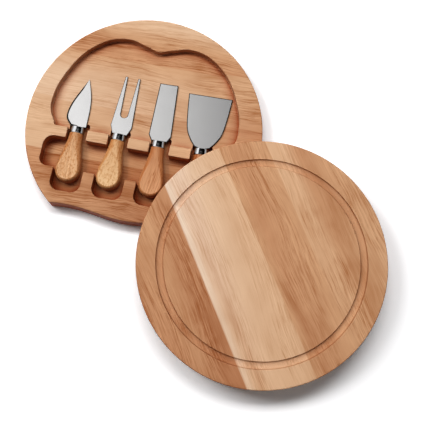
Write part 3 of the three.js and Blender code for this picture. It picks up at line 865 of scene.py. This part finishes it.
def wear(obj, *materials):
    """Gives the mesh these materials in place of any it has."""
    obj.data.materials.clear()
    for material in materials:
        obj.data.materials.append(material)


# Base board


def station(index):
    return LAYOUT_SHIFT + (index - (TOOL_COUNT - 1) / 2) * TOOL_PITCH


def wave_line(drop):
    """The wave that parts the foot from the circle, left to right, moved down by drop."""

    def wave(x):
        return -WAVE_DISTANCE - WAVE_HEIGHT * math.cos(2 * math.pi * x / WAVE_LENGTH) - drop

    inside, outside = 0, BOARD_RADIUS
    for _ in range(HALVINGS):
        middle = (inside + outside) / 2
        if math.hypot(middle, wave(middle)) < BOARD_RADIUS:
            inside = middle
        else:
            outside = middle
    places = [inside * (2 * step / WAVE_STEPS - 1) for step in range(WAVE_STEPS + 1)]
    return [Vector((x, wave(x))) for x in places]


def rim_line(start, end):
    """The boards' circle from one point round to another, counterclockwise, without its ends."""
    first = math.atan2(start.y, start.x)
    turn = (math.atan2(end.y, end.x) - first) % (2 * math.pi)
    count = round(turn * BOARD_RADIUS / (2 * FINE_STEP))
    angles = [first + turn * step / count for step in range(1, count)]
    return [BOARD_RADIUS * Vector((math.cos(a), math.sin(a))) for a in angles]


def parted(wave):
    """A part of the boards' circle: the wave, and the rim from its end round to its start."""
    return evenly(counterclockwise(wave + rim_line(wave[-1], wave[0])), 2 * FINE_STEP)


def recess_outline():
    """The blade recess: two lobes and a straight lower edge along the ridge."""

    def placed(across, up):
        return Vector((LAYOUT_SHIFT + across * RECESS_HALF_WIDTH, up * RECESS_REACH))

    def turn_at(corner, start, end):
        return bezier(start, start.lerp(corner, CORNER_PULL), end.lerp(corner, CORNER_PULL), end)

    left = [placed(*share) for share in RECESS_WALL_SHARES]
    right = [placed(-across, up) for across, up in reversed(RECESS_WALL_SHARES)]
    wall = spline([*left, placed(0, RECESS_DIP_SHARE), *right])
    left_corner = Vector((wall[0].x, RECESS_LOWER))
    right_corner = Vector((wall[-1].x, RECESS_LOWER))
    inward = Vector((RECESS_CORNER, 0))
    right_turn = turn_at(right_corner, wall[-1], right_corner - inward)
    left_turn = turn_at(left_corner, left_corner + inward, wall[0])
    return counterclockwise(wall + right_turn + left_turn)


def bay(centre, half_width, mouth, end, end_round):
    """The corners of a bay off the trough. A negative half width takes them from right to left."""
    near, far = centre - half_width, centre + half_width
    return [(near, mouth, RIB_ROUND), (near, end, end_round), (far, end, end_round), (far, mouth, RIB_ROUND)]


def trough_outline():
    """The deep cut: the finger trough, a notch for each ferrule and a pocket for each handle."""
    left_end = station(0) - POCKET_HALF_WIDTH - FINGER_ROOM
    right_end = station(TOOL_COUNT - 1) + POCKET_HALF_WIDTH + FINGER_ROOM
    end_round = min(FINGER_ROOM - RIB_ROUND, (TROUGH_UPPER - TROUGH_LOWER) / 2)
    corners = [(left_end, TROUGH_UPPER, end_round)]
    for index in range(TOOL_COUNT):
        corners += bay(station(index), NOTCH_HALF_WIDTH, TROUGH_UPPER, NOTCH_END, NOTCH_ROUND)
    corners += [(right_end, TROUGH_UPPER, end_round), (right_end, TROUGH_LOWER, end_round)]
    for index in reversed(range(TOOL_COUNT)):
        corners += bay(station(index), -POCKET_HALF_WIDTH, TROUGH_LOWER, POCKET_END, POCKET_ROUND)
    corners.append((left_end, TROUGH_LOWER, end_round))
    return counterclockwise(rounded(corners))


def base_board():
    face = BASE_HIGH.z
    board = stacked("base_board_fine", parted(wave_line(0)), slab_levels(0, face, BOARD_ROUND))
    for outline, floor in ((recess_outline(), RECESS_FLOOR), (trough_outline(), TROUGH_FLOOR)):
        cut_away(board, stacked("cut", evenly(outline, 2 * FINE_STEP), cutter_levels(floor, face)))
    cut_away(board, rod(PIVOT, BORE_RADIUS, -OVERRUN, face + OVERRUN))
    cut_away(board, rod(PIVOT, COUNTERBORE_RADIUS, -OVERRUN, COUNTERBORE_DEPTH))
    return smoothed(board)


# Top board and foot, made closed over the base and then turned open about the pivot

OPENED = (
    Matrix.Translation((PIVOT.x, PIVOT.y, 0))
    @ Matrix.Rotation(OPEN_ANGLE, 4, "Z")
    @ Matrix.Translation((-PIVOT.x, -PIVOT.y, 0))
)


def top_profile():
    """Radii and heights from the middle of the underside round to the middle of the face."""
    low, high = TOP_LOW.z, TOP_HIGH.z
    profile = [(0, low), ((BOARD_RADIUS - BOARD_ROUND) / 2, low)]
    profile += [(BOARD_RADIUS - inset, height) for height, inset in slab_levels(low, high, BOARD_ROUND)]
    lip = [
        (GROOVE_HALF_WIDTH + GROOVE_LIP, high),
        (GROOVE_HALF_WIDTH + LIP_OUT_SHARE * GROOVE_LIP, high - LIP_DOWN_SHARE * GROOVE_LIP),
        (GROOVE_HALF_WIDTH, high - GROOVE_LIP),
    ]
    profile += [(GROOVE_RADIUS + out, height) for out, height in lip]
    for angle in spaced(0, math.pi, GROOVE_STEPS)[1:-1]:
        radius = GROOVE_RADIUS + GROOVE_HALF_WIDTH * math.cos(angle)
        profile.append((radius, high - GROOVE_DEPTH * math.sin(angle)))
    profile += [(GROOVE_RADIUS - out, height) for out, height in reversed(lip)]
    return profile + [(GROOVE_RADIUS / 2, high), (0, high)]


def top_board():
    low = TOP_LOW.z
    board = turned("top_board_fine", top_profile())
    cut_away(board, rod(PIVOT, WASHER_SEAT_RADIUS, low - OVERRUN, low + WASHER_SEAT_DEPTH))
    cut_away(board, rod(PIVOT, INSERT_HOLE_RADIUS, low - OVERRUN, low + INSERT_HOLE_DEPTH))
    for place in DOWEL_PLACES:
        cut_away(board, rod(place, DOWEL_RADIUS, low - OVERRUN, low + DOWEL_IN_TOP))
    board.data.transform(OPENED)
    return smoothed(board)


def support_foot():
    """The foot. Its edges' round fades towards its two sharp tips, where it has no room."""
    height = FOOT_HIGH.z
    wave = wave_line(SAW_KERF)
    left_tip, right_tip = wave[0], wave[-1]
    outline = parted(wave[::-1])
    shares = [min(1, (p - left_tip).length / TIP_REACH, (p - right_tip).length / TIP_REACH) for p in outline]
    foot = stacked("support_foot_fine", outline, slab_levels(0, height, BOARD_ROUND), shares)
    for place in DOWEL_PLACES:
        cut_away(foot, rod(place, DOWEL_RADIUS, height - DOWEL_IN_FOOT, height + OVERRUN))
    foot.data.transform(OPENED)
    return smoothed(foot)


# Tools, each in its own frame: the blade points along +Y and the ferrule's front is at zero


def curved_side(size, shares):
    """A blade's curved side through shares of its half width and length."""
    half_width, length = size
    reach = length - SEAT_GAP
    points = [Vector((across * half_width, SEAT_GAP + up * reach)) for across, up in shares]
    return spline(points, BLADE_STEPS)


def mirrored(points):
    return [Vector((-p.x, p.y)) for p in points]


def with_tang(left, right):
    """A blade's whole outline: the tang, up the left side and down the right."""
    half = TANG_HALF_WIDTH
    start = [Vector((-half, -TANG_LENGTH)), Vector((-half, SEAT_GAP))]
    end = [Vector((half, SEAT_GAP)), Vector((half, -TANG_LENGTH))]
    return counterclockwise(start + left + right + end)


def pointed_knife_outline():
    left = curved_side(POINTED_KNIFE_SIZE, POINTED_LEFT_SHARES)
    return with_tang(left, curved_side(POINTED_KNIFE_SIZE, POINTED_RIGHT_SHARES))


def even_outline(side, between=()):
    """A blade with two like sides, from its right one and the points between their ends."""
    right = [Vector(point) for point in side]
    return with_tang(mirrored(right) + list(between), right[::-1])


def fork_outline():
    centre = Vector((0, FORK_SLOT_BOTTOM + FORK_SLOT_HALF_WIDTH))
    return even_outline(FORK_SIDE, arc(centre, FORK_SLOT_HALF_WIDTH, math.pi, 2 * math.pi, CURVE_STEPS))


def pointed_shares(outline):
    """A pointed blade's bevel is narrower on its right, and dies out at its tip."""
    tip = max(outline, key=lambda point: point.y)
    made = []
    for point in outline:
        side = 1 if point.x < tip.x else POINTED_RIGHT_BEVEL
        made.append(side * min(1, (point - tip).length / POINTED_TIP_REACH))
    return made


def blade(name, outline, edge, shares=None):
    """A flat blade with its edges ground above and below over the width of edge."""
    half = BLADE_THICKNESS / 2
    levels = [(-half, edge), (-half + BLADE_EDGE_HEIGHT, 0), (half - BLADE_EDGE_HEIGHT, 0), (half, edge)]
    made = stacked(name, outline, levels, shares)
    # The bevels wear nearly black steel, a painted dark reflection
    wear(made, blade_steel, bevel_steel_painted_dark)
    for face in made.data.polygons:
        face.material_index = 0 if abs(face.normal.z) > FLAT_NORMAL else 1
    return smoothed(made, BLADE_ANGLE)


def oval(width, height):
    """A superellipse in x and z, which is an ellipse with fuller corners."""
    power = 2 / FERRULE_SQUARENESS
    made = []
    for angle in spaced(0, 2 * math.pi, OVAL_STEPS)[:-1]:
        x, z = math.cos(angle), math.sin(angle)
        x_share, z_share = math.copysign(abs(x) ** power, x), math.copysign(abs(z) ** power, z)
        made.append(Vector((width / 2 * x_share, height / 2 * z_share)))
    return counterclockwise(made)


def drawn(name, outline, levels):
    """A section in x and z drawn back along the tool's axis through places and insets."""
    made = stacked(name, outline, levels)
    made.data.transform(Matrix.Rotation(QUARTER, 4, "X"))
    return made


def ferrule(name):
    """The bright sleeve: rolled lips, hollow, closed in front but for the tang's slot."""
    levels = slab_levels(0, FERRULE_LENGTH, FERRULE_LIP)
    tapered = [(back, inset + FERRULE_TAPER * (1 - back / FERRULE_LENGTH)) for back, inset in levels]
    made = drawn(name, oval(FERRULE_WIDTH, FERRULE_HEIGHT), tapered)
    inner = oval(FERRULE_WIDTH - 2 * FERRULE_WALL, FERRULE_HEIGHT - 2 * FERRULE_WALL)
    cut_away(made, drawn("cut", inner, [(FERRULE_WALL, 0), (FERRULE_LENGTH + OVERRUN, 0)]))
    across, up = TANG_HALF_WIDTH + SEAT_GAP, BLADE_THICKNESS / 2 + SEAT_GAP
    slot = [Vector(corner) for corner in ((-across, -up), (across, -up), (across, up), (-across, up))]
    cut_away(made, drawn("cut", slot, [(-OVERRUN, 0), (FERRULE_WALL + OVERRUN, 0)]))
    wear(made, ferrule_chrome)
    return smoothed(made, FERRULE_ANGLE)


def handle_outline():
    """The drop, with its neck run on past the shoulder so that it can be cut square there."""
    shoulder = -FERRULE_LENGTH - SEAT_GAP
    neck = FERRULE_WIDTH / 2 - SEAT_GAP
    centre = shoulder - HANDLE_LENGTH + HANDLE_HALF_WIDTH
    swell = shoulder - centre
    belly = HANDLE_HALF_WIDTH
    left = bezier(
        Vector((-neck, shoulder)),
        Vector((-neck, shoulder - swell * NECK_SHARE)),
        Vector((-belly, centre + swell * BELLY_SHARE)),
        Vector((-belly, centre)),
        NECK_STEPS,
    )
    left.insert(0, left[0] + Vector((0, NECK_OVERRUN)))
    butt = arc(Vector((0, centre)), belly, math.pi, 2 * math.pi, BUTT_STEPS)
    return counterclockwise(left + butt[1:-1] + mirrored(left)[::-1])


def cut_square(made, y):
    """Cuts off what lies past y and closes the cut."""
    work = bmesh.new()
    work.from_mesh(made.data)
    parts = work.verts[:] + work.edges[:] + work.faces[:]
    cut = bmesh.ops.bisect_plane(work, geom=parts, plane_co=(0, y, 0), plane_no=(0, 1, 0), clear_outer=True)
    bmesh.ops.edgeloop_fill(work, edges=[e for e in cut["geom_cut"] if isinstance(e, bmesh.types.BMEdge)])
    bmesh.ops.recalc_face_normals(work, faces=work.faces)
    work.to_mesh(made.data)
    work.free()


def handle(name, material):
    """A drop with a flat facet above and below. Its sides are steep at the belly and round at the neck."""
    outline = evenly(handle_outline(), FINE_STEP)
    shoulder = -FERRULE_LENGTH - SEAT_GAP
    half = HANDLE_THICKNESS / 2
    reaches, drops = [], []
    for point in outline:
        nearness = min(1, max(0, 1 - (shoulder - point.y) / (NECK_ROUND_SHARE * HANDLE_LENGTH))) ** NECK_FALL
        reaches.append(HANDLE_SIDE_ROUND + (HANDLE_NECK_ROUND - HANDLE_SIDE_ROUND) * nearness)
        drops.append(HANDLE_SIDE_HEIGHT + (HANDLE_NECK_HEIGHT - HANDLE_SIDE_HEIGHT) * nearness)

    # Shares of the reach inwards and of the drop still to climb, from the steep side up to the facet's edge.
    angles = spaced(0, FACET_ANGLE, FACET_STEPS)
    whole_across, whole_up = 1 - math.cos(FACET_ANGLE), math.sin(FACET_ANGLE)
    climb = [((1 - math.cos(a)) / whole_across, 1 - math.sin(a) / whole_up) for a in angles]
    edge = FACET_EDGE
    upper = []
    for across, left in climb:
        insets = [reach * across for reach in reaches]
        heights = [half - edge / 2 - (drop - edge / 2) * left for drop in drops]
        upper.append([(p.x, p.y, height) for p, height in zip(drawn_in(outline, insets), heights)])
    upper.append([(p.x, p.y, half) for p in drawn_in(outline, [reach + edge for reach in reaches])])
    lower = [[(x, y, -height) for x, y, height in ring] for ring in reversed(upper)]
    made = lofted(name, lower + upper)
    cut_square(made, shoulder)
    wear(made, material)
    return smoothed(made, BLADE_ANGLE)


def tool_place(name):
    """A tool's frame: from its ferrule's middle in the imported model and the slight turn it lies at."""
    low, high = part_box(name + "_ferrule")
    middle = (low + high) / 2
    turn = Matrix.Rotation(math.radians(TOOL_TURNS[name]), 4, "Z")
    forward = turn @ Vector((0, FERRULE_LENGTH / 2, 0))
    return Matrix.Translation(middle + forward) @ turn


def tool(name, outline, shares=None):
    made = {
        "blade": blade(name + "_blade_fine", outline, BLADE_EDGES[name], shares),
        "ferrule": ferrule(name + "_ferrule_fine"),
        "handle": handle(name + "_handle_fine", handle_woods[name]),
    }
    for kind, obj in made.items():
        obj.matrix_world = tool_place(name)
        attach(obj, name)
        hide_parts(f"{name}_{kind}")


def board_piece(obj, material, body, node):
    wear(obj, material)
    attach(obj, body)
    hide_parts(node)


board_piece(base_board(), base_wood, "base", "base_board")
board_piece(top_board(), top_wood, "top", "top_board")
board_piece(support_foot(), foot_wood, "top", "support_foot")
pointed = pointed_knife_outline()
tool("pointed_knife", pointed, pointed_shares(pointed))
tool("fork", fork_outline())
tool("flat_knife", even_outline(FLAT_KNIFE_SIDE))
tool("spatula", even_outline(curved_side(SPATULA_SIZE, SPATULA_SHARES)))

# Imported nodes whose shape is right: each keeps its mesh and gets a better finish
for node in ("head_washer", "pivot_screw"):
    wear(frame["nodes"][node], zinc_steel)
for node in ("dowel_left", "dowel_right"):
    wear(frame["nodes"][node], dowel_wood)
wear(frame["nodes"]["glide_washer"], washer_nylon)
wear(frame["nodes"]["threaded_insert"], insert_brass)


# Studio

FLOOR_HALF_WIDTH = 6
FLOOR_GAP = 0.2 * MM
FLOOR_SHOWN = (1.24, 1.24, 1.2524, 1)
PAPER_DARK = (0.84, 0.84, 0.85, 1)
PAPER_LIGHT = (0.86, 0.86, 0.87, 1)
FLOOR_GLOW = 0.05
GLOW_START = 0.4
GLOW_FULL = 1.2
SKY_STRENGTH = 0.05
LIT_PLACE = Vector((0.06, -0.06, 0.02))
LAMPS = {
    "key": {"place": Vector((-0.1, 1.1, 2.7)), "width": 1.9, "depth": 0.8, "power": 49},
    "side": {"place": Vector((-1.65, 0.45, 2.35)), "width": 1.0, "depth": 1.0, "power": 41},
    "wide": {"place": Vector((0.3, 0.3, 1.7)), "width": 2.6, "depth": 1.2, "power": 1.5},
}

# The card, with its light at places from left to right, and the places of the black L's edges below it
CARD_HEIGHT = 1.4
CARD_HALF_WIDTH = 20
CARD_LEVELS = [
    (-3.6, 0.6), (-2.6, 0.01), (-2.3, 1.0), (-0.65, 1.1), (-0.43, 1.06), (-0.3, 1.0), (-0.18, 0.82),
    (-0.05, 0.49), (0.2, 0.12), (0.45, 0.1), (0.9, 0.6),
]
FLAG_ACROSS = (-0.6, 0.5, 2.6)
FLAG_ALONG = (0.25, 0.8, 1.3)
FLAG_DROP = 0.02


def softbox(name, place, width, depth, power):
    """A rectangular lamp. It shows in no reflection, because the card stands for it there."""
    data = bpy.data.lights.new(name, "AREA")
    data.shape = "RECTANGLE"
    data.size, data.size_y = width, depth
    data.energy = power
    made = added(name, data)
    made.location = place
    made.rotation_mode = "QUATERNION"
    made.rotation_quaternion = (LIT_PLACE - place).to_track_quat("-Z", "Y")
    made.visible_camera = False
    made.visible_glossy = False


def square(half):
    return [(-half, -half, 0), (half, -half, 0), (half, half, 0), (-half, half, 0)]


def floor():
    """White paper. To what sees it directly it glows, faintly by the object and fully far from it."""
    g = Graph("floor_paper")
    place, seen = g.place(), g.seen_directly()
    paper = g.blend(g.between(g.noise(place, *PAPER), 0.3, 0.7), PAPER_DARK, PAPER_LIGHT)
    surface = g.add("BsdfDiffuse", {"Color": g.blend(seen, paper, FLOOR_SHOWN)})
    away = g.add("VectorMath", {0: place, 1: LIT_PLACE}, operation="DISTANCE").outputs["Value"]
    glow = g.times(g.between(away, GLOW_START, GLOW_FULL, FLOOR_GLOW, 1.0), seen)
    lit = g.add("Emission", {"Color": WHITE, "Strength": glow})
    g.finish(g.add("AddShader", {0: surface.outputs[0], 1: lit.outputs[0]}))
    made = piece("floor", square(FLOOR_HALF_WIDTH), [[0, 1, 2, 3]])
    made.location = (0, 0, -FLOOR_GAP)
    wear(made, g.owner)


def reflected_sheet(g, light, corners, faces, height):
    """A sheet over the scene, seen in reflections only."""
    g.finish(g.add("Emission", {"Color": light, "Strength": 1.0}))
    made = piece(g.owner.name, corners, faces)
    made.location = (0, 0, height)
    wear(made, g.owner)
    for ray in ("camera", "diffuse", "shadow", "transmission", "volume_scatter"):
        setattr(made, "visible_" + ray, False)


def reflected_card():
    """A large card: bright over the tools' left, dark over their right, and lit again farther out."""
    g = Graph("reflected_card")
    half = CARD_HALF_WIDTH
    across = g.between(g.parts(g.place())[0], -half, half, smooth=False)
    light = g.ramp(across, [(0.5 + x / (2 * half), (level, level, level, 1)) for x, level in CARD_LEVELS])
    reflected_sheet(g, light, square(half), [[0, 3, 2, 1]], CARD_HEIGHT)


def dark_flag():
    """A black L below the card. From the photograph's side the sloping ferrules mirror it, not the blades."""
    left, turn, right = FLAG_ACROSS
    low, near, far = FLAG_ALONG
    corners = [(left, near, 0), (left, far, 0), (turn, far, 0), (right, far, 0)]
    corners += [(right, low, 0), (turn, low, 0), (turn, near, 0)]
    faces = [[0, 1, 2, 6], [2, 3, 4, 5, 6]]
    reflected_sheet(Graph("dark_flag"), BLACK, corners, faces, CARD_HEIGHT - FLAG_DROP)


def world():
    """A faint even sky, which is white to what sees it directly."""
    g = Graph("studio", bpy.data.worlds)
    dim = g.add("Background", {"Color": WHITE, "Strength": SKY_STRENGTH})
    white = g.add("Background", {"Color": WHITE, "Strength": 1.0})
    mix = g.add("MixShader", {0: g.seen_directly(), 1: dim.outputs[0], 2: white.outputs[0]})
    bpy.context.scene.world = g.finish(mix, "OutputWorld")


def camera():
    data = bpy.data.cameras.new("camera")
    data.sensor_width = SENSOR_WIDTH
    data.lens = CAMERA_LENS
    data.clip_end = CAMERA_REACH
    made = added("camera", data)
    made.location = CAMERA_PLACE
    made.rotation_euler = (CAMERA_TILT, 0, CAMERA_ROLL)
    bpy.context.scene.camera = made


camera()
floor()
world()
reflected_card()
dark_flag()
for name, lamp in LAMPS.items():
    softbox(name, **lamp)
bpy.context.scene.view_settings.view_transform = "Standard"
